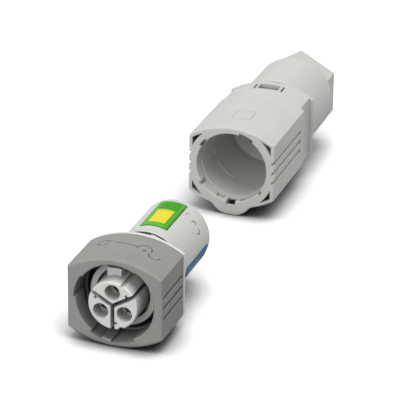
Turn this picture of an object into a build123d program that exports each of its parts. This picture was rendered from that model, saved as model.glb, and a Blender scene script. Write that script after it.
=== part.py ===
from build123d import *
import os
from math import cos, radians, sin

# Female installation connector, opened for wiring: the contact insert with its
# locking ring in front, and the grip housing with its cable gland behind it.
# Millimetres. The connector axis runs along Y, from the mating face to the cable.
# Every "y" below is counted from the front plane of the locking ring, with the
# connector axis at x = z = 0. placed() moves a finished piece into the part's frame.

# Outline shared by locking ring, rim and grip housing
BODY_WIDTH = 40.0
BODY_HEIGHT = 38.4
FLAT_HEIGHT = 26.6
EDGE_ROUND = 1.0
REAR_EDGE_ROUND = 0.3
LOBE_EDGE_ROUND = 0.5

# Grip grooves in the flat sides
GROOVE_COUNT = 3
GROOVE_PITCH = 4.6
GROOVE_MOUTH = 2.0
GROOVE_FLOOR = 1.1
GROOVE_DEPTH = 1.1

# Clearances
RUNNING_GAP = 0.05
SEATING_GAP = 0.1
FACE_GAP = 0.3

# Locking ring
RING_LENGTH = 25.0
MATING_BORE_R = 16.5
RING_BACK_WALL = 5.5
BORE_CHAMFER = 0.5
RING_GROOVE_START = 1.6
RING_TURN = 30.0
TRACK_DEPTH = 0.9
TRACK_ANGLES = (-78.0, 42.0, 162.0)
TRACK_ENTRY_ARC = 34.0
TRACK_LENGTH = 13.0
TRACK_WIDTH = 4.0
KEYWAY_ANGLE = -117.5
KEYWAY_ARC = 17.0
KEYWAY_LENGTH = 9.0

# Contact face
FACE_LEAD = 2.0
FACE_R = 10.3
FACE_EDGE = 0.4
SECTOR_GAP = 1.75
SOCKET_CIRCLE_R = 5.8
SOCKET_HOLE_R = 3.25
FACE_NOTCH = 1.1
FACE_NOTCH_R = 7.5
FACE_NOTCH_DEPTH = 1.6
CODING_ANGLE = -70.0
CODING_WIDTH = 1.7
KEY_GROOVE_ANGLE = 66.0
KEY_GROOVE_WIDTH = 1.3
KEY_GROOVE_DEPTH = 0.9
KEY_RIB_WIDTH = 6.0
KEY_RIB_TOP = 13.3
KEY_RIB_SETBACK = 6.7
KEY_RIB_OFFSET = -1.6

# Front carrier behind the face
SHROUD_R = 13.9
SHROUD_WALL = 2.4
SHROUD_SETBACK = 10.0
BASE_DEPTH = 19.0
SNAP_RIDGE = 0.6
SNAP_RIDGE_LENGTH = 0.8
RIM_THICKNESS = 2.0
NECK_LENGTH = 10.7
NECK_COLLAR_R = 15.9
NECK_REAR_R = 15.3
SEAL_SETBACK = 1.2
SEAL_GROOVE_LENGTH = 4.0
SEAL_GROOVE_R = 13.9
KEY_PLAY_ARC = 2.0

# Terminal block
BLOCK_R = 15.0
BLOCK_LENGTH = 34.5
BLOCK_FRONT_WALL = 5.0
BLOCK_REAR_ROUND = 0.9
CHAMBER_HALF_WIDTH = 3.6
CHAMBER_FLOOR = 3.2
CHAMBER_ROOF = 12.6

# Wire guide that closes the terminal block
GUIDE_THICKNESS = 2.7
GUIDE_R = 13.0
GUIDE_SETBACK = 0.3
GUIDE_TUBE_R = 3.0
GUIDE_TUBE_LENGTH = 5.0
WIRE_HOLE_R = 2.4
WIRE_FUNNEL = 0.7
WIRE_LEVEL = 6.3

# Contacts and spring clamps
PIN_BORE_R = 2.05
PIN_BORE_DEPTH = 14.0
BARREL_LENGTH = 20.0
BARREL_RECESS = 6.0
TINE_SLOT = 0.5
TINE_LENGTH = 9.0
TAIL_R = 1.5
RIVET_R = 1.75
RIVET_HEIGHT = 0.6
BAR_THICKNESS = 0.8
BAR_WIDTH = 5.4
BAR_FLANGE_HEIGHT = 5.8
SPRING_THICKNESS = 0.45
SPRING_WIDTH = 5.0
SPRING_ROOF = 10.4
SPRING_LOOP_R = 0.85
SPRING_SETBACK = 3.4
SPRING_TOP_LENGTH = 9.0
SPRING_LEG_LENGTH = 9.0
SPRING_LEG_DROP = 4.1

# Release levers
POLES = {"pe": 0.0, "n": -120.0, "l": 120.0}
LEVER_R = 15.3
LEVER_HALF_WIDTH = 5.7
LEVER_LENGTH = 24.8
LEVER_SETBACK = 6.1
LEVER_SIDE_GAP = 0.35
LEVER_SKIN = 1.5
LEVER_SKIRT_BOTTOM = 12.3
LEVER_SKIRT_WALL = 1.4
PIVOT_R = 0.9
PIVOT_HALF_LENGTH = 6.9
PIVOT_FROM_END = 2.1
PIVOT_LEVEL = 11.6
PIVOT_EAR_R = 1.5
POCKET_FLOOR = 9.0
LEVER_RIB_COUNT = 4
LEVER_RIB_PITCH = 1.7
LEVER_RIB_WIDTH = 0.8
LEVER_RIB_DEPTH = 0.5
LEVER_RIB_HALF = 4.2
MARKER_HALF_WIDTH = 3.6
MARKER_LENGTH = 12.4
MARKER_FROM_END = 3.4
MARKER_DEPTH = 0.5

# Seals of the insert
MATING_SEAL_R = 15.9
MATING_SEAL_LENGTH = 2.8

# Grip housing
HOUSING_START = 144.0
HOUSING_LENGTH = 61.5
HOUSING_BORE_R = 16.4
HOUSING_MOUTH_LENGTH = 6.6
HOUSING_INNER_R = 15.9
HOUSING_INNER_DEPTH = 49.0
CABLE_WAY_STEP = 0.6
CABLE_WAY_CONE = 5.0
HOUSING_MOUTH_CHAMFER = 0.3
KEYWAYS = ((66.5, 23.0), (142.0, 15.0), (214.0, 6.0), (-37.0, 6.0))
KEYWAY_RISE = 1.2
KEYWAY_REACH = 5.0
CORNER_WALL = 1.6
CORNER_POCKET_R = 20.2
CORNER_POCKET_DEPTH = 8.0
GROOVE_RUN = 41.0
SIDE_RECESS = 1.7
SIDE_RECESS_START = 45.2
REAR_LIP = 2.4
BOSS_R = 10.6
BOSS_CENTRE = 12.6
BOSS_LENGTH = 30.0
BOSS_SLOPE_LENGTH = 10.0
BOSS_BOTTOM = 22.85
BOSS_BLEND = 4.0
CATCH_HALF_WIDTH = 2.1
CATCH_WALL = 0.9
CATCH_LENGTH = 3.4
CATCH_ROOF = 17.4
CATCH_FLOOR = 21.2
CATCH_TUNNEL_LENGTH = 12.0
CATCH_NOTCH_DEPTH = 1.5
CATCH_POCKET_ANGLE = 20.0
CATCH_POCKET_ARC = 13.0
CATCH_POCKET_DEPTH = 0.9
STOP_RIB_HEIGHT = 0.4
STOP_RIB_WIDTH = 1.1
STOP_RIB_DEPTH = 22.6
STOP_RIB_ANGLE = 212.0
STOP_RIB_ARC = 68.0
GUIDE_RIB_LENGTH = 7.5
GUIDE_RIB_ANGLE = 203.0
LATCH_HALF_WIDTH = 4.9
LATCH_BAR = 1.2
LATCH_LENGTH = 6.0
LATCH_FROM_REAR = 4.0
LATCH_DEPTH = 2.4
LATCH_SLIT = 0.9
LATCH_SLIT_DEPTH = 3.0

# Cable gland
SPIGOT_LENGTH = 19.5
SPIGOT_WALL = 2.0
SEAL_SEAT_SETBACK = 3.0
CABLE_SEAL_PLAY = 0.15
CABLE_SEAL_WALL = 2.65
CABLE_SEAL_TAPER_LENGTH = 4.0
CABLE_SEAL_TIP_WALL = 1.75
CABLE_SEAL_LENGTH = 25.5
CAGE_BASE_LENGTH = 2.7
CAGE_FINGER_COUNT = 8
CAGE_FINGER_LENGTH = 8.7
CAGE_FINGER_GAP = 0.4
CAGE_FINGER_TAPER = 0.4
CAGE_SLOT = 2.0
THRUST_LENGTH = 2.5
THRUST_CONE = 1.5
NUT_PITCH = 1.5
NUT_INSET = 0.8
NUT_LENGTH = 43.2
NUT_THREAD_LENGTH = 22.7
NUT_WALL = 2.7
NUT_CAVITY_STEP = 0.7
NUT_REAR_WALL = 9.0
NUT_TAPER_LENGTH = 7.5
NUT_TIP_LENGTH = 4.5
NUT_TIP_DROP = 3.4
NUT_EDGE = 0.8
NUT_FLATS = 6
NUT_HEX_EDGE = 0.3
CABLE_ENTRY_STEP = 0.6

# Places worked out from the sizes above
FACE_Y = -FACE_LEAD
BASE_Y = FACE_Y + BASE_DEPTH
RING_WALL_Y = RING_LENGTH - RING_BACK_WALL
RIM_Y = RING_LENGTH + FACE_GAP
NECK_Y = RIM_Y + RIM_THICKNESS
SEAL_GROOVE_Y = NECK_Y + HOUSING_MOUTH_LENGTH - SEAL_SETBACK
SEAL_LIP_R = HOUSING_INNER_R - SEATING_GAP
BLOCK_Y = NECK_Y + NECK_LENGTH
BLOCK_END_Y = BLOCK_Y + BLOCK_LENGTH
CHAMBER_Y = BLOCK_Y + BLOCK_FRONT_WALL
GUIDE_END_Y = BLOCK_END_Y - GUIDE_SETBACK
GUIDE_Y = GUIDE_END_Y - GUIDE_THICKNESS
BARREL_Y = FACE_Y + BARREL_RECESS
BARREL_END_Y = BARREL_Y + BARREL_LENGTH
BAR_END_Y = GUIDE_Y - GUIDE_TUBE_LENGTH - FACE_GAP
LEVER_Y = BLOCK_Y + LEVER_SETBACK
LEVER_END_Y = LEVER_Y + LEVER_LENGTH
PIVOT_Y = LEVER_Y + PIVOT_FROM_END
HOUSING_END_Y = HOUSING_START + HOUSING_LENGTH
SEAT_Y = HOUSING_END_Y + SEAL_SEAT_SETBACK
SPIGOT_END_Y = HOUSING_END_Y + SPIGOT_LENGTH
CAGE_Y = SPIGOT_END_Y + FACE_GAP
CAGE_FINGER_Y = CAGE_Y + CAGE_BASE_LENGTH
NUT_Y = HOUSING_END_Y + NUT_PITCH + FACE_GAP
NUT_END_Y = NUT_Y + NUT_LENGTH
NUT_SHOULDER_Y = NUT_END_Y - NUT_REAR_WALL
THRUST_Y = NUT_SHOULDER_Y - FACE_GAP - THRUST_LENGTH

# Radii of the gland, from the nut inwards
NUT_R = BODY_WIDTH / 2 - NUT_INSET
NUT_TIP_R = NUT_R - NUT_TIP_DROP
NUT_THREAD_R = NUT_R - NUT_WALL
NUT_CAVITY_R = NUT_THREAD_R - NUT_CAVITY_STEP
SPIGOT_R = NUT_THREAD_R - SEATING_GAP
SPIGOT_BORE_R = SPIGOT_R - SPIGOT_WALL
CAGE_BASE_R = NUT_THREAD_R - FACE_GAP
CAGE_FINGER_ROOT_R = NUT_CAVITY_R - CAGE_FINGER_GAP
CAGE_FINGER_TIP_R = CAGE_FINGER_ROOT_R - CAGE_FINGER_TAPER
THRUST_R = NUT_CAVITY_R - FACE_GAP
CABLE_SEAL_BORE_R = SPIGOT_BORE_R - CABLE_SEAL_PLAY - CABLE_SEAL_WALL
CABLE_WAY_R = CABLE_SEAL_BORE_R + CABLE_WAY_STEP
CABLE_ENTRY_R = CABLE_SEAL_BORE_R - CABLE_ENTRY_STEP

TOTAL_LENGTH = NUT_END_Y - FACE_Y
MIDDLE_Y = FACE_Y + TOTAL_LENGTH / 2
AXIS_HEIGHT = BOSS_BOTTOM
BEYOND = 1.0


def placed(shape):
    """Into the part's frame: origin under the middle, on the surface it stands on."""
    return Pos(0, -MIDDLE_Y, AXIS_HEIGHT) * shape


def run(sketch, start, end):
    """A cross-section drawn in x and z, carried along the axis from start to end."""
    return extrude(Plane.XZ.offset(-start) * sketch, end - start, dir=(0, 1, 0))


def tube(outer, inner, start, end):
    return run(Circle(outer) - Circle(inner), start, end)


def rod(radius, start, end):
    return run(Circle(radius), start, end)


def turned(*points):
    """A closed outline of (radius, y) points turned about the connector axis."""
    return revolve(make_face(Polyline(*points, close=True)), Axis.Y)


def block(x0, x1, y0, y1, z0, z1):
    size = Box(x1 - x0, y1 - y0, z1 - z0)
    return Pos((x0 + x1) / 2, (y0 + y1) / 2, (z0 + z1) / 2) * size


def around(angle, shape):
    """Turned about the connector axis, counter-clockwise as seen from the mating face."""
    return Rot(0, -angle, 0) * shape


def sector(inner, outer, middle, arc, start, end):
    """Part of a ring, arc degrees wide about the angle middle, counted from +x towards +z."""
    half = radians(arc / 2)
    reach = outer / cos(half) + BEYOND
    wedge = make_face(Polyline(
        (0, 0),
        (reach * cos(half), -reach * sin(half)),
        (reach * cos(half), reach * sin(half)),
        close=True))
    ring = (Circle(outer) - Circle(inner)) & wedge
    return run(Rot(0, 0, middle) * ring, start, end)


def body_outline(inset=0.0):
    """Straight sides with an arched top and bottom."""
    half_width = BODY_WIDTH / 2 - inset
    half_height = BODY_HEIGHT / 2 - inset
    flat = FLAT_HEIGHT / 2 - inset / 2
    return make_face([
        Line((half_width, -flat), (half_width, flat)),
        ThreePointArc((half_width, flat), (0, half_height), (-half_width, flat)),
        Line((-half_width, flat), (-half_width, -flat)),
        ThreePointArc((-half_width, -flat), (0, -half_height), (half_width, -flat)),
    ])


def grip_grooves(start, end):
    """Grooves along both flat sides, wider at the mouth than at the floor."""
    face_x = BODY_WIDTH / 2
    outline = make_face(Polyline(
        (face_x - GROOVE_DEPTH, -GROOVE_FLOOR / 2),
        (face_x + GROOVE_DEPTH, -GROOVE_MOUTH + GROOVE_FLOOR / 2),
        (face_x + GROOVE_DEPTH, GROOVE_MOUTH - GROOVE_FLOOR / 2),
        (face_x - GROOVE_DEPTH, GROOVE_FLOOR / 2),
        close=True))
    grooves = Part()
    for index in range(GROOVE_COUNT):
        level = (index - (GROOVE_COUNT - 1) / 2) * GROOVE_PITCH
        one = run(Pos(0, level) * outline, start, end)
        grooves += one
        grooves += mirror(one, about=Plane.YZ)
    return grooves


def round_front(solid, radius):
    return fillet(solid.faces().sort_by(Axis.Y)[0].edges(), radius)


def round_rear(solid, radius):
    return fillet(solid.faces().sort_by(Axis.Y)[-1].edges(), radius)


def locking_ring():
    ring = round_front(run(body_outline(), 0, RING_LENGTH), EDGE_ROUND)
    ring = round_rear(ring, REAR_EDGE_ROUND)
    ring -= turned(
        (0, -BEYOND),
        (MATING_BORE_R + BORE_CHAMFER + BEYOND, -BEYOND),
        (MATING_BORE_R, BORE_CHAMFER),
        (MATING_BORE_R, RING_WALL_Y),
        (SHROUD_R + RUNNING_GAP, RING_WALL_Y),
        (SHROUD_R + RUNNING_GAP, RING_LENGTH + BEYOND),
        (0, RING_LENGTH + BEYOND))
    inner = MATING_BORE_R - BEYOND
    outer = MATING_BORE_R + TRACK_DEPTH
    for angle in TRACK_ANGLES:
        ring -= sector(inner, outer, angle, TRACK_ENTRY_ARC, -BEYOND, TRACK_LENGTH)
        turned_by = angle + (TRACK_ENTRY_ARC + RING_TURN) / 2
        ring -= sector(inner, outer, turned_by, RING_TURN + BEYOND, TRACK_LENGTH - TRACK_WIDTH, TRACK_LENGTH)
    ring -= sector(inner, outer, KEYWAY_ANGLE, KEYWAY_ARC, -BEYOND, KEYWAY_LENGTH)
    ring -= grip_grooves(RING_GROOVE_START, RING_LENGTH + BEYOND)
    return ring


def contact_face():
    """Three sectors round the sockets, parted by gaps that meet on the axis."""
    face = turned(
        (0, FACE_Y),
        (FACE_R - FACE_EDGE, FACE_Y),
        (FACE_R, FACE_Y + FACE_EDGE),
        (FACE_R, BASE_Y),
        (0, BASE_Y))
    gap = block(0, FACE_R + BEYOND, FACE_Y - BEYOND, BASE_Y, -SECTOR_GAP / 2, SECTOR_GAP / 2)
    notch = block(
        FACE_NOTCH_R - FACE_NOTCH / 2, FACE_NOTCH_R + FACE_NOTCH / 2,
        FACE_Y - BEYOND, FACE_Y + FACE_NOTCH_DEPTH,
        0, SECTOR_GAP / 2 + FACE_NOTCH)
    for angle in (30, 150, 270):
        face -= around(angle, gap)
        face -= around(angle, notch)
    rib_half = KEY_RIB_WIDTH / 2
    face += block(
        KEY_RIB_OFFSET - rib_half, KEY_RIB_OFFSET + rib_half,
        FACE_Y + KEY_RIB_SETBACK, BASE_Y,
        FACE_R - FACE_LEAD, KEY_RIB_TOP)
    coding = block(
        FACE_R - CODING_WIDTH / 2, FACE_R + BEYOND, FACE_Y - BEYOND, BASE_Y - BEYOND,
        -CODING_WIDTH / 2, CODING_WIDTH / 2)
    face -= around(CODING_ANGLE, coding)
    groove = block(
        FACE_R - KEY_GROOVE_DEPTH, FACE_R + BEYOND, FACE_Y - BEYOND, BASE_Y - BEYOND,
        -KEY_GROOVE_WIDTH / 2, KEY_GROOVE_WIDTH / 2)
    return face - around(KEY_GROOVE_ANGLE, groove)


def front_carrier():
    """Contact face, shroud, rim and neck: one moulding."""
    shroud_inner = SHROUD_R - SHROUD_WALL
    ridge_end = RING_WALL_Y - FACE_GAP
    ridge_y = ridge_end - SNAP_RIDGE_LENGTH
    groove_y = SEAL_GROOVE_Y
    groove_end = groove_y + SEAL_GROOVE_LENGTH
    carrier = turned(
        (0, BASE_Y),
        (shroud_inner, BASE_Y),
        (shroud_inner, SHROUD_SETBACK),
        (SHROUD_R, SHROUD_SETBACK),
        (SHROUD_R, ridge_y),
        (SHROUD_R + SNAP_RIDGE, ridge_end - SNAP_RIDGE_LENGTH / 4),
        (SHROUD_R + SNAP_RIDGE, ridge_end),
        (SHROUD_R, ridge_end),
        (SHROUD_R, RIM_Y + BEYOND),
        (NECK_COLLAR_R, RIM_Y + BEYOND),
        (NECK_COLLAR_R, groove_y),
        (SEAL_GROOVE_R, groove_y),
        (SEAL_GROOVE_R, groove_end),
        (NECK_REAR_R, groove_end),
        (NECK_REAR_R, BLOCK_Y),
        (0, BLOCK_Y))
    carrier += contact_face()
    carrier += round_rear(run(body_outline(), RIM_Y, NECK_Y), REAR_EDGE_ROUND)
    key_r = HOUSING_BORE_R + KEYWAY_RISE - FACE_GAP
    for middle, arc in KEYWAYS:
        carrier += sector(
            SEAL_GROOVE_R, key_r, middle, arc - KEY_PLAY_ARC,
            NECK_Y, NECK_Y + KEYWAY_REACH - FACE_GAP)
    for turn in POLES.values():
        hole = Pos(0, 0, SOCKET_CIRCLE_R) * rod(SOCKET_HOLE_R, FACE_Y - BEYOND, BARREL_END_Y)
        hole += Pos(0, 0, SOCKET_CIRCLE_R) * rod(TAIL_R + SEATING_GAP, BARREL_END_Y, BLOCK_Y + BEYOND)
        carrier -= around(turn, hole)
    return carrier


def lever_pocket():
    """Room for one lever and its two pivots, at the top of the block."""
    half = LEVER_HALF_WIDTH + LEVER_SIDE_GAP
    pocket = block(
        -half, half, LEVER_Y - LEVER_SIDE_GAP, LEVER_END_Y + FACE_GAP,
        POCKET_FLOOR, LEVER_R + BEYOND)
    bore = Rot(0, 90, 0) * Cylinder(PIVOT_R + RUNNING_GAP, 2 * (PIVOT_HALF_LENGTH + SEATING_GAP))
    return pocket + Pos(0, PIVOT_Y, PIVOT_LEVEL) * bore


def terminal_block():
    """Round body with three clamp chambers, open to the back and to the levers."""
    body = turned(
        (0, BLOCK_Y),
        (BLOCK_R, BLOCK_Y),
        (BLOCK_R, BLOCK_END_Y - BLOCK_REAR_ROUND),
        (BLOCK_R - BLOCK_REAR_ROUND, BLOCK_END_Y),
        (GUIDE_R + SEATING_GAP, BLOCK_END_Y),
        (GUIDE_R + SEATING_GAP, GUIDE_Y),
        (0, GUIDE_Y))
    chamber = block(
        -CHAMBER_HALF_WIDTH, CHAMBER_HALF_WIDTH, CHAMBER_Y, GUIDE_Y + BEYOND,
        CHAMBER_FLOOR, CHAMBER_ROOF)
    tail_hole = Pos(0, 0, SOCKET_CIRCLE_R) * rod(TAIL_R + SEATING_GAP, BLOCK_Y - BEYOND, CHAMBER_Y + BEYOND)
    for turn in POLES.values():
        body -= around(turn, chamber + lever_pocket() + tail_hole)
    return body


def wire_guide():
    """Rear cover with one funnel and tube for each wire."""
    guide = rod(GUIDE_R, GUIDE_Y, GUIDE_END_Y)
    tube_y = GUIDE_Y - GUIDE_TUBE_LENGTH
    for turn in POLES.values():
        guide += around(turn, Pos(0, 0, WIRE_LEVEL) * rod(GUIDE_TUBE_R, tube_y, GUIDE_Y + BEYOND))
    hole = turned(
        (0, tube_y - BEYOND),
        (WIRE_HOLE_R, tube_y - BEYOND),
        (WIRE_HOLE_R, GUIDE_END_Y - WIRE_FUNNEL),
        (WIRE_HOLE_R + WIRE_FUNNEL + BEYOND, GUIDE_END_Y + BEYOND),
        (0, GUIDE_END_Y + BEYOND))
    for turn in POLES.values():
        guide -= around(turn, Pos(0, 0, WIRE_LEVEL) * hole)
    return guide


def socket_contact():
    """Slotted barrel for the mating pin, with a tail riveted to the current bar."""
    barrel_r = SOCKET_HOLE_R - SEATING_GAP
    flange_end = CHAMBER_Y + BAR_THICKNESS
    contact = turned(
        (PIN_BORE_R, BARREL_Y),
        (barrel_r, BARREL_Y),
        (barrel_r, BARREL_END_Y),
        (TAIL_R, BARREL_END_Y),
        (TAIL_R, flange_end),
        (RIVET_R, flange_end),
        (RIVET_R, flange_end + RIVET_HEIGHT),
        (0, flange_end + RIVET_HEIGHT),
        (0, BARREL_Y + PIN_BORE_DEPTH),
        (PIN_BORE_R, BARREL_Y + PIN_BORE_DEPTH))
    slot = block(
        -barrel_r - BEYOND, barrel_r + BEYOND, BARREL_Y - BEYOND, BARREL_Y + TINE_LENGTH,
        -TINE_SLOT / 2, TINE_SLOT / 2)
    contact -= slot
    contact -= around(90, slot)
    return Pos(0, 0, SOCKET_CIRCLE_R) * contact


def current_bar():
    """Folded bar: a flange round the contact's tail and a leg under the wire."""
    half = BAR_WIDTH / 2
    flange_top = CHAMBER_FLOOR + BAR_FLANGE_HEIGHT
    leg_top = CHAMBER_FLOOR + BAR_THICKNESS
    bar = block(-half, half, CHAMBER_Y, CHAMBER_Y + BAR_THICKNESS, CHAMBER_FLOOR, flange_top)
    bar += block(-half, half, CHAMBER_Y, BAR_END_Y, CHAMBER_FLOOR, leg_top)
    hole = rod(TAIL_R + RUNNING_GAP, CHAMBER_Y - BEYOND, CHAMBER_Y + 2 * BAR_THICKNESS)
    return bar - Pos(0, 0, SOCKET_CIRCLE_R) * hole


def clamp_spring():
    """Strip bent back on itself: its leg slants down to the current bar."""
    loop_y = BAR_END_Y - SPRING_SETBACK
    leg_top = SPRING_ROOF - 2 * SPRING_LOOP_R
    strip = trace([
        Line((loop_y - SPRING_TOP_LENGTH, SPRING_ROOF), (loop_y, SPRING_ROOF)),
        ThreePointArc(
            (loop_y, SPRING_ROOF),
            (loop_y + SPRING_LOOP_R, SPRING_ROOF - SPRING_LOOP_R),
            (loop_y, leg_top)),
        Line((loop_y, leg_top), (loop_y - SPRING_LEG_LENGTH, leg_top - SPRING_LEG_DROP)),
    ], line_width=SPRING_THICKNESS)
    return extrude(Plane.YZ * strip, SPRING_WIDTH / 2, both=True)


def lever_shell():
    """Curved skin with side skirts, on two pivots near its front end."""
    half = LEVER_HALF_WIDTH
    shell = rod(LEVER_R, LEVER_Y, LEVER_END_Y)
    shell &= block(-half, half, LEVER_Y, LEVER_END_Y, LEVER_SKIRT_BOTTOM, LEVER_R + BEYOND)
    inner = half - LEVER_SKIRT_WALL
    skin_bottom = LEVER_R - LEVER_SKIN
    shell -= block(
        -inner, inner, LEVER_Y + LEVER_SKIRT_WALL, LEVER_END_Y - LEVER_SKIRT_WALL,
        0, skin_bottom) & rod(skin_bottom, LEVER_Y, LEVER_END_Y)
    ear = Rot(0, 90, 0) * Cylinder(PIVOT_EAR_R, LEVER_SKIRT_WALL)
    web = block(
        -LEVER_SKIRT_WALL / 2, LEVER_SKIRT_WALL / 2, PIVOT_Y - PIVOT_EAR_R, PIVOT_Y + PIVOT_EAR_R,
        PIVOT_LEVEL, LEVER_SKIRT_BOTTOM + LEVER_SKIRT_WALL)
    pin_length = PIVOT_HALF_LENGTH - half + LEVER_SKIRT_WALL / 2
    pin = Rot(0, 90, 0) * Cylinder(PIVOT_R, pin_length)
    for side in (-1, 1):
        ear_x = side * (half - LEVER_SKIRT_WALL / 2)
        shell += Pos(ear_x, PIVOT_Y, PIVOT_LEVEL) * ear
        shell += Pos(ear_x, 0, 0) * web
        shell += Pos(ear_x + side * pin_length / 2, PIVOT_Y, PIVOT_LEVEL) * pin
    return shell


def lever_ribs():
    """Finger grooves near the lever's free end."""
    grooves = Part()
    last = LEVER_END_Y - LEVER_SKIRT_WALL
    for index in range(LEVER_RIB_COUNT):
        y = last - index * LEVER_RIB_PITCH
        cut = block(
            -LEVER_RIB_HALF, LEVER_RIB_HALF, y - LEVER_RIB_WIDTH, y,
            LEVER_SKIRT_BOTTOM, LEVER_R + BEYOND)
        grooves += cut - rod(LEVER_R - LEVER_RIB_DEPTH, LEVER_Y, LEVER_END_Y)
    return grooves


def marker_field(outer):
    """The field let into the protective-earth lever."""
    start = LEVER_Y + MARKER_FROM_END
    field = tube(outer, LEVER_R - MARKER_DEPTH, start, start + MARKER_LENGTH)
    return field & block(
        -MARKER_HALF_WIDTH, MARKER_HALF_WIDTH, start, start + MARKER_LENGTH, 0, LEVER_R + BEYOND)


def lever(marked):
    shell = lever_shell() - lever_ribs()
    if marked:
        shell -= marker_field(LEVER_R + BEYOND)
    return shell


def housing_seal():
    """Two-lipped ring in the neck's groove, sealing the grip housing."""
    start = SEAL_GROOVE_Y + SEATING_GAP
    end = start + SEAL_GROOVE_LENGTH - 2 * SEATING_GAP
    middle = (start + end) / 2
    quarter = (end - start) / 4
    waist_r = (SEAL_GROOVE_R + SEAL_LIP_R) / 2
    floor_r = SEAL_GROOVE_R + SEATING_GAP
    return turned(
        (floor_r, start),
        (waist_r, start),
        (SEAL_LIP_R, start + quarter),
        (waist_r, middle),
        (SEAL_LIP_R, end - quarter),
        (waist_r, end),
        (floor_r, end))


def mating_seal():
    """Flat ring on the shroud, in front of the snap ridge."""
    end = RING_WALL_Y - FACE_GAP - SNAP_RIDGE_LENGTH - SEATING_GAP
    start = end - MATING_SEAL_LENGTH
    edge = MATING_SEAL_LENGTH / 4
    return turned(
        (SHROUD_R + SEATING_GAP, start),
        (MATING_SEAL_R - edge, start),
        (MATING_SEAL_R, start + edge),
        (MATING_SEAL_R, end),
        (SHROUD_R + SEATING_GAP, end))


def housing_shell():
    """Outline with a lobe blended into its underside, and a flat there to stand on."""
    section = body_outline() + Pos(0, -BOSS_CENTRE) * Circle(BOSS_R)
    corners = section.vertices().filter_by(lambda v: abs(v.X) < BOSS_R and v.Y < -BOSS_CENTRE)
    section = fillet(corners, BOSS_BLEND)
    section -= Pos(0, -BOSS_BOTTOM - BOSS_R) * Rectangle(BODY_WIDTH, 2 * BOSS_R)
    boss_end = HOUSING_START + BOSS_LENGTH
    front = run(section, HOUSING_START, boss_end)
    slope = make_face(Polyline(
        (boss_end + BEYOND, -BODY_HEIGHT / 2 + BEYOND),
        (boss_end + BEYOND, -BODY_HEIGHT),
        (boss_end - BOSS_SLOPE_LENGTH, -BODY_HEIGHT),
        (boss_end - BOSS_SLOPE_LENGTH, -BOSS_BOTTOM),
        close=True))
    front -= extrude(Plane.YZ * slope, BODY_WIDTH, both=True)
    shell = run(body_outline(), HOUSING_START + EDGE_ROUND, HOUSING_END_Y)
    shell = round_rear(shell, EDGE_ROUND)
    return round_front(shell + front, LOBE_EDGE_ROUND)


def housing_cavity():
    """Bore for the insert, its mouth and keyways, and the way for the cable."""
    depth = HOUSING_START
    inner_end = depth + HOUSING_INNER_DEPTH
    cavity = turned(
        (0, depth - BEYOND),
        (HOUSING_BORE_R + HOUSING_MOUTH_CHAMFER + BEYOND, depth - BEYOND),
        (HOUSING_BORE_R, depth + HOUSING_MOUTH_CHAMFER),
        (HOUSING_BORE_R, depth + HOUSING_MOUTH_LENGTH),
        (HOUSING_INNER_R, depth + HOUSING_MOUTH_LENGTH),
        (HOUSING_INNER_R, inner_end),
        (CABLE_WAY_R, inner_end + CABLE_WAY_CONE),
        (CABLE_WAY_R, SEAT_Y),
        (SPIGOT_BORE_R, SEAT_Y),
        (SPIGOT_BORE_R, SPIGOT_END_Y + BEYOND),
        (0, SPIGOT_END_Y + BEYOND))
    for middle, arc in KEYWAYS:
        cavity += sector(
            HOUSING_BORE_R - BEYOND, HOUSING_BORE_R + KEYWAY_RISE, middle, arc,
            depth - BEYOND, depth + KEYWAY_REACH)
    return cavity


def catch_window():
    """Window and tunnel for the catch in the lobe, between two shallow pockets."""
    front = HOUSING_START
    half = CATCH_HALF_WIDTH
    window = block(
        -half, half, front + CATCH_WALL, front + CATCH_WALL + CATCH_LENGTH,
        -CATCH_FLOOR, -HOUSING_BORE_R + BEYOND)
    window += block(
        -half, half, front + CATCH_WALL, front + CATCH_WALL + CATCH_TUNNEL_LENGTH,
        -CATCH_FLOOR, -CATCH_ROOF)
    window += block(
        -half, half, front - BEYOND, front + CATCH_WALL + BEYOND,
        -HOUSING_BORE_R - CATCH_NOTCH_DEPTH, -HOUSING_BORE_R + BEYOND)
    for side in (-1, 1):
        window += sector(
            HOUSING_BORE_R - BEYOND, HOUSING_BORE_R + CATCH_POCKET_DEPTH,
            -90 + side * CATCH_POCKET_ANGLE, CATCH_POCKET_ARC,
            front + CATCH_WALL, front + CATCH_WALL + CATCH_LENGTH)
    return window


def bore_ribs():
    """Curved stop rib on the bore's wall, with a straight guide rib in front of it."""
    stop_y = HOUSING_START + STOP_RIB_DEPTH
    top_r = HOUSING_INNER_R - STOP_RIB_HEIGHT
    ribs = sector(
        top_r, HOUSING_INNER_R + BEYOND, STOP_RIB_ANGLE, STOP_RIB_ARC,
        stop_y, stop_y + STOP_RIB_WIDTH)
    guide = block(
        top_r, HOUSING_INNER_R + BEYOND, stop_y - GUIDE_RIB_LENGTH, stop_y + STOP_RIB_WIDTH / 2,
        -STOP_RIB_WIDTH / 2, STOP_RIB_WIDTH / 2)
    return ribs + around(GUIDE_RIB_ANGLE, guide)


def side_recesses():
    """The stepped-in stretch of both sides, in front of the rear lip."""
    depth = SIDE_RECESS
    start = HOUSING_START + SIDE_RECESS_START
    end = HOUSING_END_Y - REAR_LIP
    face_x = BODY_WIDTH / 2
    one = block(face_x - depth, face_x + BEYOND, start, end, -BODY_HEIGHT, BODY_HEIGHT)
    return one + mirror(one, about=Plane.YZ)


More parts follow.
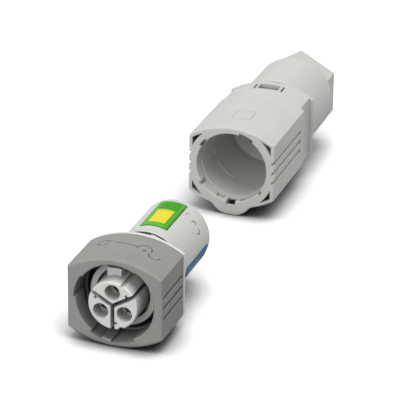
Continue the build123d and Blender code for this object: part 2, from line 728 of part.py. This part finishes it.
def latch_window():
    """Sunken latch tongue in the roof near the rear, with a slit on each side."""
    end = HOUSING_END_Y - LATCH_FROM_REAR
    start = end - LATCH_LENGTH
    roof = BODY_HEIGHT / 2
    ramp = make_face(Polyline(
        (start, roof - BEYOND / 2),
        (end, roof - LATCH_DEPTH),
        (end, roof + BEYOND),
        (start, roof + BEYOND),
        close=True))
    window = extrude(Plane.YZ * ramp, LATCH_HALF_WIDTH, both=True)
    window += block(
        -LATCH_HALF_WIDTH, LATCH_HALF_WIDTH, end - LATCH_SLIT, end,
        roof - LATCH_SLIT_DEPTH, roof + BEYOND)
    slit_x = LATCH_HALF_WIDTH + LATCH_BAR
    slit = block(slit_x, slit_x + LATCH_SLIT, start, end, roof - LATCH_SLIT_DEPTH, roof + BEYOND)
    return window + slit + mirror(slit, about=Plane.YZ)


def grip_housing():
    body = housing_shell() + rod(SPIGOT_R, HOUSING_END_Y - BEYOND, SPIGOT_END_Y)
    body -= side_recesses()
    body -= grip_grooves(HOUSING_START - BEYOND, HOUSING_START + GROOVE_RUN)
    body -= housing_cavity()
    corner = body_outline(CORNER_WALL) - Circle(CORNER_POCKET_R)
    body -= run(corner, HOUSING_START - BEYOND, HOUSING_START + CORNER_POCKET_DEPTH)
    return body - catch_window() - latch_window() + bore_ribs()


def cable_seal():
    """Sleeve that the nut squeezes onto the cable, tapered at its rear end."""
    start = SEAT_Y + FACE_GAP
    end = start + CABLE_SEAL_LENGTH
    outer = CABLE_SEAL_BORE_R + CABLE_SEAL_WALL
    return turned(
        (CABLE_SEAL_BORE_R, start),
        (outer, start),
        (outer, end - CABLE_SEAL_TAPER_LENGTH),
        (CABLE_SEAL_BORE_R + CABLE_SEAL_TIP_WALL, end),
        (CABLE_SEAL_BORE_R, end))


def clamping_cage():
    """Ring with fingers that close on the seal as the nut is tightened."""
    inner = CABLE_SEAL_BORE_R + CABLE_SEAL_WALL + SEATING_GAP
    tip_y = CAGE_FINGER_Y + CAGE_FINGER_LENGTH
    cage = turned(
        (inner, CAGE_Y),
        (CAGE_BASE_R, CAGE_Y),
        (CAGE_BASE_R, CAGE_FINGER_Y),
        (CAGE_FINGER_ROOT_R, CAGE_FINGER_Y),
        (CAGE_FINGER_TIP_R, tip_y),
        (inner, tip_y))
    slot = block(0, CAGE_BASE_R + BEYOND, CAGE_FINGER_Y, tip_y + BEYOND, -CAGE_SLOT / 2, CAGE_SLOT / 2)
    for index in range(CAGE_FINGER_COUNT):
        cage -= around(360 * index / CAGE_FINGER_COUNT, slot)
    return cage


def thrust_ring():
    """Slip ring between the cage's fingers and the nut."""
    return turned(
        (CABLE_SEAL_BORE_R + THRUST_CONE, THRUST_Y),
        (THRUST_R, THRUST_Y),
        (THRUST_R, THRUST_Y + THRUST_LENGTH),
        (CABLE_SEAL_BORE_R, THRUST_Y + THRUST_LENGTH),
        (CABLE_SEAL_BORE_R, THRUST_Y + THRUST_CONE))


def gland_nut():
    """Round union nut that tapers off at the rear, where a hexagon stands out of it."""
    taper_y = NUT_END_Y - NUT_TIP_LENGTH - NUT_TAPER_LENGTH
    nut = turned(
        (0, NUT_Y),
        (NUT_R - NUT_EDGE, NUT_Y),
        (NUT_R, NUT_Y + NUT_EDGE),
        (NUT_R, taper_y),
        (NUT_TIP_R, NUT_END_Y - NUT_TIP_LENGTH),
        (NUT_TIP_R, NUT_END_Y),
        (0, NUT_END_Y))
    outline = RegularPolygon(NUT_R - SEATING_GAP, NUT_FLATS, rotation=180 / NUT_FLATS)
    nut += round_rear(run(outline, taper_y, NUT_END_Y), NUT_HEX_EDGE)
    return nut - turned(
        (0, NUT_Y - BEYOND),
        (NUT_THREAD_R, NUT_Y - BEYOND),
        (NUT_THREAD_R, NUT_Y + NUT_THREAD_LENGTH),
        (NUT_CAVITY_R, NUT_Y + NUT_THREAD_LENGTH),
        (NUT_CAVITY_R, NUT_SHOULDER_Y),
        (CABLE_ENTRY_R, NUT_SHOULDER_Y),
        (CABLE_ENTRY_R, NUT_END_Y - NUT_EDGE),
        (CABLE_ENTRY_R + NUT_EDGE + BEYOND, NUT_END_Y + BEYOND),
        (0, NUT_END_Y + BEYOND))


def build_all():
    nodes = {
        "locking_ring": locking_ring(),
        "front_carrier": front_carrier(),
        "terminal_block": terminal_block(),
        "wire_guide": wire_guide(),
        "housing_seal": housing_seal(),
        "mating_seal": mating_seal(),
        "earth_marker": marker_field(LEVER_R),
        "grip_housing": grip_housing(),
        "cable_seal": cable_seal(),
        "clamping_cage": clamping_cage(),
        "thrust_ring": thrust_ring(),
        "gland_nut": gland_nut(),
    }
    for pole, turn in POLES.items():
        nodes["socket_" + pole] = around(turn, socket_contact())
        nodes["current_bar_" + pole] = around(turn, current_bar())
        nodes["clamp_spring_" + pole] = around(turn, clamp_spring())
        nodes["lever_" + pole] = around(turn, lever(marked=pole == "pe"))
    return nodes


os.makedirs("parts", exist_ok=True)
for name, shape in build_all().items():
    export_step(placed(shape), f"parts/{name}.step")
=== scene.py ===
import math

import bmesh
import bpy
from mathutils import Matrix, Vector


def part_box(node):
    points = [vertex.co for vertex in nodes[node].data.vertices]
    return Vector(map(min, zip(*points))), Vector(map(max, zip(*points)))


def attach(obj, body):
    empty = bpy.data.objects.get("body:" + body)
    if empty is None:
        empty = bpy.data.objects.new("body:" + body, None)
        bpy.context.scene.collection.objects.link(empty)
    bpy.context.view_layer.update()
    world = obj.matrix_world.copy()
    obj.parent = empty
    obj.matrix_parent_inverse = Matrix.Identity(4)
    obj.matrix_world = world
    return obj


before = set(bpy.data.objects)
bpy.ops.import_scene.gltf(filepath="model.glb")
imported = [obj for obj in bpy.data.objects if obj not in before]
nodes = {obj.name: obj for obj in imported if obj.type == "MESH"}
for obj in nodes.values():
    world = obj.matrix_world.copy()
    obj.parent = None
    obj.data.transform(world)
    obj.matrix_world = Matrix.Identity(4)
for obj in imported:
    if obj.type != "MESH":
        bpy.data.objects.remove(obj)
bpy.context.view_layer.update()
scene = bpy.context.scene
scene.view_settings.view_transform = "Standard"
MM = 0.001

# Camera, fitted to corners of both halves in the photograph, in millimetres, with its roll in degrees
CAMERA_PLACE = (302.09, -895.16, 438.88)
CAMERA_TARGET = (26.04, -97.36, 60.54)
CAMERA_ROLL = 0.623
CAMERA_LENS = 211.22
CAMERA_SENSOR = 36.0
CAMERA_NEAR = 50.0
CAMERA_FAR = 20000.0

# Lamps: strength, spread in degrees and aim
KEY_LAMP = (1.96, 50.0, (-0.30, 0.18, -0.93))
FRONT_LAMP = (1.14, 40.0, (0.05, 0.90, -0.40))

# Sky: its strength from the left and from the right
SKY_LEFT = 0.38
SKY_RIGHT = 0.02

# Floor: half its side and its clearance under the part, in millimetres, and the grey that it throws back
FLOOR_HALF = 4000.0
FLOOR_CLEARANCE = 0.03
FLOOR_BOUNCE = 0.30

# Shade on the floor: its reach in millimetres, its lean, and its greys over a range from closed to open
SHADE_REACH = 18.0
SHADE_LEAN = (-0.25, 0.55, 0.80)
SHADE_CLOSED = 0.05
SHADE_OPEN = 1.4
SHADE_RANGE = (0.06, 0.99)

# Radius of the arched roofs of ring and housing, in millimetres
ROOF_RADIUS = 36.85

# Strokes: their widths, how far the middle stands proud and the edges sink, and the width left at the ends
RING_STROKE = 0.8
BLOCK_STROKE = 0.8
FIELD_STROKE = 0.4
LEVER_STROKE = 0.45
STROKE_PROUD = 0.012
STROKE_SUNK = 0.05
STROKE_TAPER = 0.55

# Places of the marking field and the lever's lines, in millimetres from the middle and the front end
FIELD_HALF_WIDTH = 4.2
FIELD_START = 12.6
FIELD_END = 22.8
LEVER_LINE_START = 0.3
LEVER_LINE_END = 24.5
LEVER_EDGE = 5.4
LEVER_RAIL = 4.3

# Bows of the marks: centre across and along in millimetres, half width, half length, and two angles
CLOSED_LOOP = (-10.5, 16.2, 2.1, 2.4, 20, 340)
OPEN_LOOP = (7.4, 14.6, 2.9, 3.4, -10, 185)
OPEN_DOT = (7.6, 13.6, 0.55, 0.3, 0, 360)
HOOK = (12.2, 12.9, 2.3, 2.6, 175, 365)
BLOCK_SMALL = (8.7, 25.9, 1.0, 1.2, 60, 250)
BLOCK_MIDDLE = (12.75, 24.1, 1.1, 1.4, 20, 200)
BLOCK_LARGE = (16.2, 23.5, 1.3, 1.4, -60, 110)

# Straight stretches of the marks: their two ends, across and along in millimetres
CLOSED_TAIL = ((-8.6, 17.2), (-7.4, 18.0))
BAR = ((-5.6, 16.2), (3.6, 15.4))
BAR_TIP = ((3.6, 15.4), (4.3, 14.3))


def make_camera():
    cam = bpy.data.objects.new("camera", bpy.data.cameras.new("camera"))
    scene.collection.objects.link(cam)
    place = Vector(CAMERA_PLACE) * MM
    look = (Vector(CAMERA_TARGET) * MM - place).to_track_quat("-Z", "Y").to_matrix().to_4x4()
    roll = Matrix.Rotation(math.radians(CAMERA_ROLL), 4, "Z")
    cam.matrix_world = Matrix.Translation(place) @ look @ roll
    cam.data.sensor_width = CAMERA_SENSOR
    cam.data.lens = CAMERA_LENS
    cam.data.clip_start = CAMERA_NEAR * MM
    cam.data.clip_end = CAMERA_FAR * MM
    scene.camera = cam


# Shader nodes

def link(tree, a, b):
    tree.links.new(a, b)


def add(tree, kind, **values):
    n = tree.nodes.new(kind)
    for key, value in values.items():
        if key in n.inputs:
            n.inputs[key].default_value = value
        else:
            setattr(n, key, value)
    return n


def ramp(tree, source, low, high, at=(0.0, 1.0)):
    n = tree.nodes.new("ShaderNodeValToRGB")
    n.color_ramp.elements[0].position, n.color_ramp.elements[1].position = at
    n.color_ramp.elements[0].color = (*low, 1)
    n.color_ramp.elements[1].color = (*high, 1)
    link(tree, source, n.inputs["Fac"])
    return n


def scaled(colour, share):
    return tuple(min(1.0, c * share) for c in colour)


def blend(tree, kind, share, low, high):
    """Two colours mixed by a share, which is a number or a socket, as either colour may be too."""
    n = add(tree, "ShaderNodeMix", data_type="RGBA", blend_type=kind)
    for slot, value in ((0, share), (6, low), (7, high)):
        if isinstance(value, bpy.types.NodeSocket):
            link(tree, value, n.inputs[slot])
        else:
            n.inputs[slot].default_value = value
    return n.outputs[2]


def soft_edges(tree, bsdf, edge, height, strength, depth):
    """Edges rounded to a radius, with a fine relief on top. Gives back the rounded normal."""
    bevel = add(tree, "ShaderNodeBevel", samples=4, Radius=edge * MM)
    bump = add(tree, "ShaderNodeBump", Strength=strength, Distance=depth * MM)
    link(tree, height, bump.inputs["Height"])
    link(tree, bevel.outputs["Normal"], bump.inputs["Normal"])
    link(tree, bump.outputs["Normal"], bsdf.inputs["Normal"])
    return bevel.outputs["Normal"]


def uneven_shine(tree, bsdf, source, low, high):
    """Roughness that follows a texture between two values."""
    n = add(tree, "ShaderNodeMapRange")
    n.inputs["To Min"].default_value = low
    n.inputs["To Max"].default_value = high
    link(tree, source, n.inputs["Value"])
    link(tree, n.outputs["Result"], bsdf.inputs["Roughness"])


def paler_rims(tree, rounded, skin, colour, rim_paling):
    """The skin's colour, paler by the given share where the rounded normal leaves the flat one."""
    dot = add(tree, "ShaderNodeVectorMath", operation="DOT_PRODUCT")
    link(tree, rounded, dot.inputs[0])
    link(tree, add(tree, "ShaderNodeNewGeometry").outputs["Normal"], dot.inputs[1])
    rim = ramp(tree, dot.outputs["Value"], (1,) * 3, (0,) * 3, (0.86, 0.99))
    amount = add(tree, "ShaderNodeMath", operation="MULTIPLY")
    amount.inputs[1].default_value = rim_paling
    link(tree, rim.outputs["Color"], amount.inputs[0])
    pale = [min(1.0, c * 0.6 + 0.4) for c in colour]
    return blend(tree, "MIX", amount.outputs["Value"], skin, (*pale, 1))


def painted_hollow_shade(tree, rounded, skin, deep, reach):
    """Painted shade: the skin's colour, darkened down to the share deep in gaps and corners."""
    hollow = add(tree, "ShaderNodeAmbientOcclusion", samples=8, Distance=reach * MM)
    link(tree, rounded, hollow.inputs["Normal"])
    tone = ramp(tree, hollow.outputs["AO"], (deep,) * 3, (1,) * 3, (0.05, 0.75))
    return blend(tree, "MULTIPLY", 1.0, skin, tone.outputs["Color"])


def moulded(name, colour, rough, grain=2600.0, depth=0.02, mottle=0.025, rim_paling=0.12, edge=0.3,
            deep=0.35, reach=6.0, **shader):
    """Moulded plastic or rubber: fine spark-eroded grain, a faint cloud in the colour, and edges that are
    rounded and a little paler. Gaps and corners are darkened with painted shade, down to the share
    deep. The grain is in waves per metre, and depth, edge and reach are in millimetres."""
    mat = bpy.data.materials.new(name)
    mat.use_nodes = True
    t = mat.node_tree
    bsdf = t.nodes["Principled BSDF"]
    for key, value in shader.items():
        bsdf.inputs[key.replace("_", " ")].default_value = value
    where = add(t, "ShaderNodeTexCoord").outputs["Object"]
    cloud = add(t, "ShaderNodeTexNoise", Scale=70.0, Detail=3.0, Roughness=0.6)
    fine = add(t, "ShaderNodeTexNoise", Scale=grain, Detail=2.0, Roughness=0.55)
    speck = add(t, "ShaderNodeTexNoise", Scale=grain * 0.35, Detail=4.0, Roughness=0.7)
    for n in (cloud, fine, speck):
        link(t, where, n.inputs["Vector"])
    base = ramp(t, cloud.outputs["Fac"], scaled(colour, 1 - mottle), scaled(colour, 1 + mottle), (0.3, 0.7))
    dots = ramp(t, speck.outputs["Fac"], (0.93,) * 3, (1.0,) * 3, (0.38, 0.5))
    skin = blend(t, "MULTIPLY", 1.0, base.outputs["Color"], dots.outputs["Color"])
    rounded = soft_edges(t, bsdf, edge, fine.outputs["Fac"], 0.6, depth)
    skin = paler_rims(t, rounded, skin, colour, rim_paling)
    # Painted shade in gaps and corners goes into the colour here.
    skin = painted_hollow_shade(t, rounded, skin, deep, reach)
    link(t, skin, bsdf.inputs["Base Color"])
    uneven_shine(t, bsdf, speck.outputs["Fac"], rough - 0.06, rough + 0.06)
    return mat


def metal(name, colour, rough, stretch=(1, 12, 1), tarnish=0.12, edge=0.1, depth=0.01):
    """Stamped or turned metal: drawn streaks along the part, a patchy tarnish and softly broken edges."""
    mat = bpy.data.materials.new(name)
    mat.use_nodes = True
    t = mat.node_tree
    bsdf = t.nodes["Principled BSDF"]
    bsdf.inputs["Metallic"].default_value = 1.0
    where = add(t, "ShaderNodeTexCoord").outputs["Object"]
    fit = add(t, "ShaderNodeMapping")
    fit.inputs["Scale"].default_value = [1.0 / s for s in stretch]
    link(t, where, fit.inputs["Vector"])
    streak = add(t, "ShaderNodeTexNoise", Scale=5200.0, Detail=3.0, Roughness=0.6)
    link(t, fit.outputs["Vector"], streak.inputs["Vector"])
    patch = add(t, "ShaderNodeTexNoise", Scale=420.0, Detail=4.0, Roughness=0.65)
    link(t, where, patch.inputs["Vector"])
    dull, bright = scaled(colour, 1 - tarnish), scaled(colour, 1 + tarnish * 0.5)
    base = ramp(t, patch.outputs["Fac"], dull, bright, (0.35, 0.65))
    link(t, base.outputs["Color"], bsdf.inputs["Base Color"])
    uneven_shine(t, bsdf, streak.outputs["Fac"], rough - 0.08, rough + 0.1)
    soft_edges(t, bsdf, edge, streak.outputs["Fac"], 0.4, depth)
    return mat


def dress(mat, *names):
    for n in names:
        mesh = nodes[n].data
        mesh.materials.clear()
        mesh.materials.append(mat)


def make_materials():
    poles = ("pe", "n", "l")
    # deep and reach set the painted shade in each material's gaps and corners; the ring's is the darkest.
    ring = moulded("ring_grey", (0.37, 0.37, 0.357), 0.55, deep=0.14, reach=10.0, IOR=1.15)
    dress(ring, "locking_ring")
    face = moulded("insert_grey", (0.85, 0.855, 0.83), 0.45, deep=0.45, reach=8.0, IOR=1.35)
    dress(face, "front_carrier")
    block = moulded("block_grey", (0.74, 0.745, 0.72), 0.45, deep=0.6, reach=3.0, IOR=1.35)
    dress(block, "terminal_block", "wire_guide")
    housing = moulded("housing_grey", (0.69, 0.70, 0.67), 0.5, rim_paling=0.3, IOR=1.35)
    dress(housing, "grip_housing", "gland_nut")
    dress(moulded("gland_insert", (0.60, 0.61, 0.59), 0.45), "clamping_cage", "thrust_ring")
    dress(moulded("lever_green", (0.105, 0.53, 0.025), 0.4, IOR=1.25), "lever_pe")
    dress(moulded("lever_blue", (0.035, 0.155, 0.345), 0.5, IOR=1.2), "lever_n")
    dress(moulded("lever_grey", (0.22, 0.22, 0.22), 0.4), "lever_l")
    dress(moulded("marker_yellow", (0.96, 0.82, 0.03), 0.4, IOR=1.25), "earth_marker")
    rubber = moulded("seal_rubber", (0.022, 0.022, 0.023), 0.6, grain=1800.0, mottle=0.2, rim_paling=0.04)
    dress(rubber, "housing_seal", "mating_seal", "cable_seal")
    dress(metal("contact_plating", (0.46, 0.455, 0.44), 0.62), *["socket_" + p for p in poles])
    dress(metal("bar_copper", (0.83, 0.50, 0.36), 0.35), *["current_bar_" + p for p in poles])
    dress(metal("spring_steel", (0.62, 0.62, 0.61), 0.28), *["clamp_spring_" + p for p in poles])


# Stage and light

def shown_rays(tree):
    """One for the rays that show the background: to the camera, in gloss and through glass."""
    path = add(tree, "ShaderNodeLightPath")
    seen = path.outputs["Is Camera Ray"]
    for kind in ("Is Glossy Ray", "Is Transmission Ray"):
        wider = add(tree, "ShaderNodeMath", operation="MAXIMUM")
        link(tree, seen, wider.inputs[0])
        link(tree, path.outputs[kind], wider.inputs[1])
        seen = wider.outputs["Value"]
    return seen


def floor_material():
    """White to the camera and to gloss, with painted shade where the object is near, and a dull bounce for
    the rest.
    """
    mat = bpy.data.materials.new("floor")
    mat.use_nodes = True
    t = mat.node_tree
    t.nodes.remove(t.nodes["Principled BSDF"])
    plain = add(t, "ShaderNodeBsdfDiffuse", Color=(FLOOR_BOUNCE, FLOOR_BOUNCE, FLOOR_BOUNCE, 1))
    shown = add(t, "ShaderNodeBsdfDiffuse")
    # Painted shade: the floor's colour for the camera is darkened where the object is near.
    near = add(t, "ShaderNodeAmbientOcclusion", samples=16, Distance=SHADE_REACH * MM)
    lean = add(t, "ShaderNodeCombineXYZ", X=SHADE_LEAN[0], Y=SHADE_LEAN[1], Z=SHADE_LEAN[2])
    link(t, lean.outputs["Vector"], near.inputs["Normal"])
    tone = ramp(t, near.outputs["AO"], (SHADE_CLOSED,) * 3, (SHADE_OPEN,) * 3, SHADE_RANGE)
    tone.color_ramp.interpolation = "EASE"
    link(t, tone.outputs["Color"], shown.inputs["Color"])
    mix = add(t, "ShaderNodeMixShader")
    link(t, shown_rays(t), mix.inputs["Fac"])
    link(t, plain.outputs["BSDF"], mix.inputs[1])
    link(t, shown.outputs["BSDF"], mix.inputs[2])
    link(t, mix.outputs["Shader"], t.nodes["Material Output"].inputs["Surface"])
    return mat


def make_stage():
    """A pale floor that both the ring and the housing's lobe touch, as the opened connector lies."""
    ring_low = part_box("locking_ring")[0]
    lobe_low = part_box("grip_housing")[0]
    slope = (lobe_low.z - ring_low.z) / (lobe_low.y - ring_low.y)
    mesh = bpy.data.meshes.new("floor")
    bm = bmesh.new()
    half = FLOOR_HALF * MM
    for x, y in ((-half, -half), (half, -half), (half, half), (-half, half)):
        height = lobe_low.z + slope * (y - lobe_low.y) - FLOOR_CLEARANCE * MM
        bm.verts.new((x, y, height))
    bm.faces.new(bm.verts)
    bm.to_mesh(mesh)
    bm.free()
    mesh.materials.append(floor_material())
    floor = bpy.data.objects.new("floor", mesh)
    scene.collection.objects.link(floor)


def make_sky():
    """White behind the object and in its gloss, and a dim soft light that is stronger on the left."""
    world = bpy.data.worlds.new("studio")
    world.use_nodes = True
    t = world.node_tree
    back = t.nodes["Background"]
    back.inputs["Color"].default_value = (1, 1, 1, 1)
    side = add(t, "ShaderNodeSeparateXYZ")
    link(t, add(t, "ShaderNodeTexCoord").outputs["Generated"], side.inputs["Vector"])
    glow = add(t, "ShaderNodeMapRange")
    glow.inputs["From Min"].default_value = -1.0
    glow.inputs["From Max"].default_value = 1.0
    glow.inputs["To Min"].default_value = SKY_LEFT
    glow.inputs["To Max"].default_value = SKY_RIGHT
    link(t, side.outputs["X"], glow.inputs["Value"])
    strength = add(t, "ShaderNodeMapRange")
    strength.inputs["To Max"].default_value = 1.0
    link(t, shown_rays(t), strength.inputs["Value"])
    link(t, glow.outputs["Result"], strength.inputs["To Min"])
    link(t, strength.outputs["Result"], back.inputs["Strength"])
    scene.world = world


def make_lamp(name, power, spread, aim):
    lamp = bpy.data.objects.new(name, bpy.data.lights.new(name, "SUN"))
    lamp.data.energy = power
    lamp.data.angle = math.radians(spread)
    lamp.rotation_mode = "QUATERNION"
    lamp.rotation_quaternion = Vector(aim).to_track_quat("-Z", "Y")
    scene.collection.objects.link(lamp)


# Marks: thin strokes of painted shade that lie on a surface and follow it

def roof_of(node):
    """Places on a node's arched top, in millimetres: x from its middle and y from its front end."""
    low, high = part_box(node)
    centre = Vector(((low.x + high.x) / 2, low.y, high.z - ROOF_RADIUS * MM))

    def place(x, y):
        out = Vector((x / ROOF_RADIUS, 0, math.sqrt(1 - (x / ROOF_RADIUS) ** 2)))
        return centre + Vector((0, y * MM, 0)) + out * ROOF_RADIUS * MM, out
    return place


def round_of(node):
    """The same on a node that is round about the block's axis, with x along the round from its top."""
    low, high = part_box("terminal_block")
    front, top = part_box(node)[0].y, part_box(node)[1].z
    centre = Vector(((low.x + high.x) / 2, front, (low.z + high.z) / 2))
    radius = top - centre.z

    def place(x, y):
        turn = x * MM / radius
        out = Vector((math.sin(turn), 0, math.cos(turn)))
        return centre + Vector((0, y * MM, 0)) + out * radius, out
    return place


def stroke(bm, points, width, place):
    """A ribbon along points given on the surface, rounded over its width, with tapered ends."""
    rows = []
    last = len(points) - 1
    profile = ((-1, -STROKE_SUNK), (-0.5, STROKE_PROUD), (0.5, STROKE_PROUD), (1, -STROKE_SUNK))
    for k, (x, y) in enumerate(points):
        ahead = Vector(points[min(k + 1, last)]) - Vector(points[max(k - 1, 0)])
        side = Vector((-ahead.y, ahead.x)).normalized() * width / 2
        if k in (0, last):
            side *= STROKE_TAPER
        row = []
        for share, lift in profile:
            spot, out = place(x + side.x * share, y + side.y * share)
            row.append(bm.verts.new(spot + out * lift * MM))
        rows.append(row)
    for a, b in zip(rows, rows[1:]):
        for j in range(3):
            bm.faces.new((a[j], a[j + 1], b[j + 1], b[j]))


def bow(cx, cy, rx, ry, start, end, steps=28):
    """Points along part of an ellipse, between two angles in degrees."""
    points = []
    for k in range(steps + 1):
        a = math.radians(start + (end - start) * k / steps)
        points.append((cx + rx * math.cos(a), cy + ry * math.sin(a)))
    return points


def straight(a, b, steps=10):
    return [tuple(Vector(a).lerp(Vector(b), k / steps)) for k in range(steps + 1)]


def mark(name, body, painted_shade, place, width, *lines):
    """One piece made of one or more strokes, which rides on the body that it lies on."""
    mesh = bpy.data.meshes.new(name)
    bm = bmesh.new()
    for points in lines:
        stroke(bm, points, width, place)
    bmesh.ops.recalc_face_normals(bm, faces=bm.faces)
    bm.to_mesh(mesh)
    bm.free()
    mesh.materials.append(painted_shade)
    for polygon in mesh.polygons:
        polygon.use_smooth = True
    obj = bpy.data.objects.new(name, mesh)
    scene.collection.objects.link(obj)
    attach(obj, body)


def make_ring_marks(painted_shade):
    """Plain marks for the ring's two end positions, drawn as dark strokes of painted shade: a closed loop,
    a bar, an open loop and a hook.
    """
    roof = roof_of("locking_ring")
    mark("mark_closed", "ring", painted_shade, roof, RING_STROKE, bow(*CLOSED_LOOP), straight(*CLOSED_TAIL, 4))
    mark("mark_bar", "ring", painted_shade, roof, RING_STROKE, straight(*BAR), straight(*BAR_TIP, 3))
    mark("mark_open", "ring", painted_shade, roof, RING_STROKE, bow(*OPEN_LOOP), bow(*OPEN_DOT))
    mark("mark_hook", "ring", painted_shade, roof, RING_STROKE, bow(*HOOK))


def make_block_marks(painted_shade):
    """Three short bows of painted shade on the block beside the earth lever, the first half as wide."""
    side = round_of("terminal_block")
    mark("mark_block_a", "insert", painted_shade, side, BLOCK_STROKE / 2, bow(*BLOCK_SMALL))
    mark("mark_block_b", "insert", painted_shade, side, BLOCK_STROKE, bow(*BLOCK_MIDDLE))
    mark("mark_block_c", "insert", painted_shade, side, BLOCK_STROKE, bow(*BLOCK_LARGE))


def make_field(painted_shade):
    """The outline of the housing's empty marking field, as a faint line of painted shade."""
    wide = FIELD_HALF_WIDTH
    corners = [(-wide, FIELD_START), (wide, FIELD_START), (wide, FIELD_END), (-wide, FIELD_END)]
    sides = [straight(a, b, 6) for a, b in zip(corners, corners[1:] + corners[:1])]
    mark("mark_field", "housing", painted_shade, roof_of("grip_housing"), FIELD_STROKE, *sides)


def make_lever_lines(painted_shade):
    """Dark lines of painted shade along the earth lever's two edges and beside its rail, for the shallow
    steps there.
    """
    skin = round_of("lever_pe")
    for name, x in (("left", -LEVER_EDGE), ("right", LEVER_EDGE), ("rail", LEVER_RAIL)):
        line = straight((x, LEVER_LINE_START), (x, LEVER_LINE_END))
        mark("lever_line_" + name, "release_pe", painted_shade, skin, LEVER_STROKE, line)


make_camera()
make_materials()
make_stage()
make_sky()
make_lamp("key", *KEY_LAMP)
make_lamp("front", *FRONT_LAMP)
# Painted shade for the marks on ring and block, in dark strokes.
dark_painted_shade = moulded("mark_shade", (0.085, 0.085, 0.08), 0.6, mottle=0.1, rim_paling=0.0)
make_ring_marks(dark_painted_shade)
make_block_marks(dark_painted_shade)
# A faint line of painted shade round the marking field.
make_field(moulded("field_shade", (0.30, 0.305, 0.29), 0.55, mottle=0.08, rim_paling=0.0))
# Painted shade along the earth lever's steps.
make_lever_lines(moulded("lever_shade", (0.02, 0.15, 0.01), 0.5, mottle=0.1, rim_paling=0.0))
